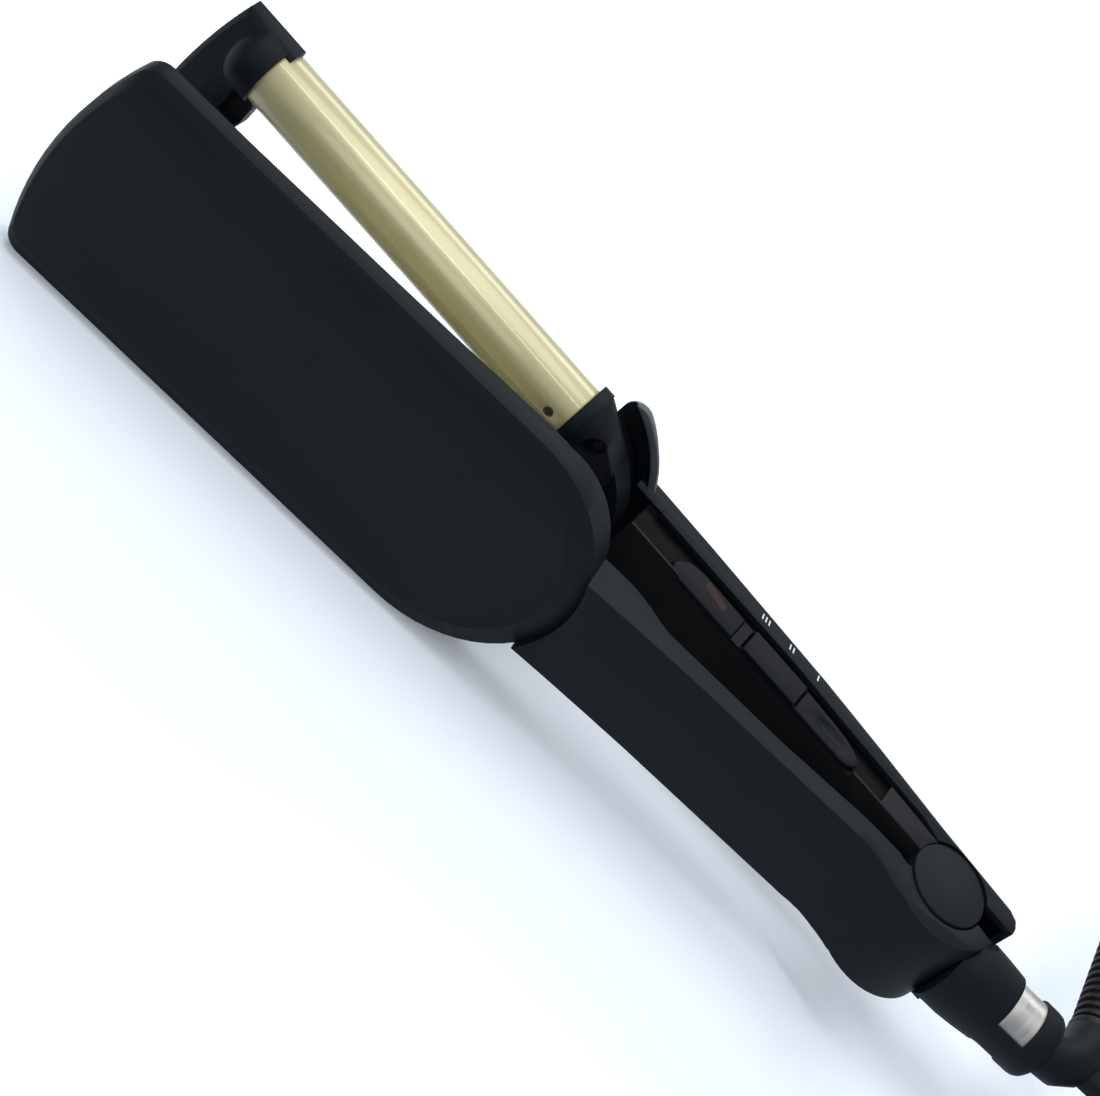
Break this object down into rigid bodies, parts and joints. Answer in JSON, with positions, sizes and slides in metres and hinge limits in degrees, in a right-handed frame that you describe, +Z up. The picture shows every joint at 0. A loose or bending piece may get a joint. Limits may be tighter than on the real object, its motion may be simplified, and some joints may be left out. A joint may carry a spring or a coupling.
{
  "type": "hair crimper",
  "caption": "Hinged hair crimper: a wide wave plate arm closes on an open arm with heated barrels, with a slide switch, a swivel cord end, a coiled mains cord and a plug.",
  "frame": {"origin": "centre of the object's box without the cord, on the plane it lies on", "axes": "+Z up along the hinge axis, +X along the barrel arm towards the cord end, -Y towards the open plate arm"},
  "size_m": [0.4448, 0.1413, 0.064],
  "materials": {
    "shell_black": "fine satin moulded, faint blue tint",
    "cover_black": "fine satin moulded",
    "switch_black": "satin with dotted grip",
    "lens_red": "translucent dark red",
    "barrel_gold": "satin champagne coating",
    "plate_gold": "satin champagne coating",
    "steel": "plain",
    "dark_steel": "black oxide",
    "ring_chrome": "brushed then plated",
    "board_green": "solder mask",
    "ceramic": "fired ceramic",
    "aluminium": "extruded",
    "mica": "pressed mica sheet",
    "cord_black": "smooth flexible jacket",
    "relief_black": "ribbed moulded",
    "tie_grey": "woven tie band",
    "plug_black": "moulded",
    "pin_nickel": "nickel plated"
  },
  "bodies": {
    "rear_arm": {"rear_outer_shell": "shell_black", "rear_inner_cover": "cover_black", "switch_panel": "switch_black", "indicator_lens": "lens_red", "slide_switch": "cover_black", "circuit_board": "board_green", "barrel_base": "cover_black", "barrel_collars": "shell_black", "upper_barrel": "barrel_gold", "lower_barrel": "barrel_gold", "barrel_heaters": "ceramic", "tip_cap": "shell_black", "barrel_screws": "dark_steel", "base_screws": "dark_steel", "hinge_pin": "steel", "hinge_caps": "shell_black", "opening_spring": "steel", "neck_sleeve": "shell_black", "swivel_ring": "ring_chrome", "cord_lead": "cord_black", "cord_coil": "cord_black", "cord_tail": "cord_black", "cord_tie": "tie_grey", "plug_body": "plug_black", "plug_pins": "pin_nickel"},
    "plate_arm": {"front_head_shell": "shell_black", "front_handle_shell": "shell_black", "front_handle_cover": "cover_black", "wave_plate": "plate_gold", "plate_end_blocks": "cover_black", "plate_screws": "steel", "heat_spreader": "aluminium", "plate_heater": "ceramic", "heater_clamp": "steel", "heat_shield": "mica"},
    "switch_knob": {"slide_knob": "switch_black"},
    "cord_swivel": {"swivel_boot": "shell_black", "strain_relief": "relief_black"}
  },
  "joints": [
    {"name": "arm_hinge", "type": "hinge", "parent": "rear_arm", "child": "plate_arm", "pos_m": [0.0908, 0.01266, 0.032], "axis": [0, 0, 1], "range_deg": [-6, 0], "stiffness_Nm_per_rad": 0.3, "springref_deg": 28.65},
    {"name": "switch_slide", "type": "slide", "parent": "rear_arm", "child": "switch_knob", "axis": [-1, 0, 0], "range_m": [0, 0.005]},
    {"name": "cord_swivel_turn", "type": "hinge", "parent": "rear_arm", "child": "cord_swivel", "pos_m": [0.1272, 0.01386, 0.032], "axis": [1, 0, 0], "range_deg": [-30, 150]}
  ]
}
